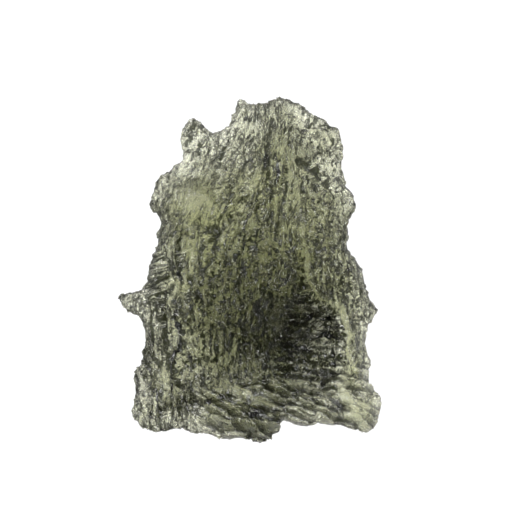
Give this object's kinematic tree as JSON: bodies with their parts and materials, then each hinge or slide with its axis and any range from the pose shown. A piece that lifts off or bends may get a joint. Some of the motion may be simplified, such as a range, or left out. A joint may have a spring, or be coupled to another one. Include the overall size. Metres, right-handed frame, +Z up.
{
  "type": "moldavite",
  "caption": "Natural piece of green tektite glass, deeply etched into ribs, pits, a hollow and a scaly curled foot, lying on its back.",
  "frame": {"origin": "on the table, under the middle of the stone's outline", "axes": "+Z up out of the stone's sculpted front, +Y towards its narrow end, +X to the right as the front is looked down on"},
  "size_m": [0.023, 0.03, 0.0087],
  "materials": {
    "green_glass": "natural olive-green glass, see-through at thin edges and dark in the middle, glossy with finely etched grooves"
  },
  "bodies": {
    "root": {"moldavite": "green_glass"}
  },
  "joints": []
}
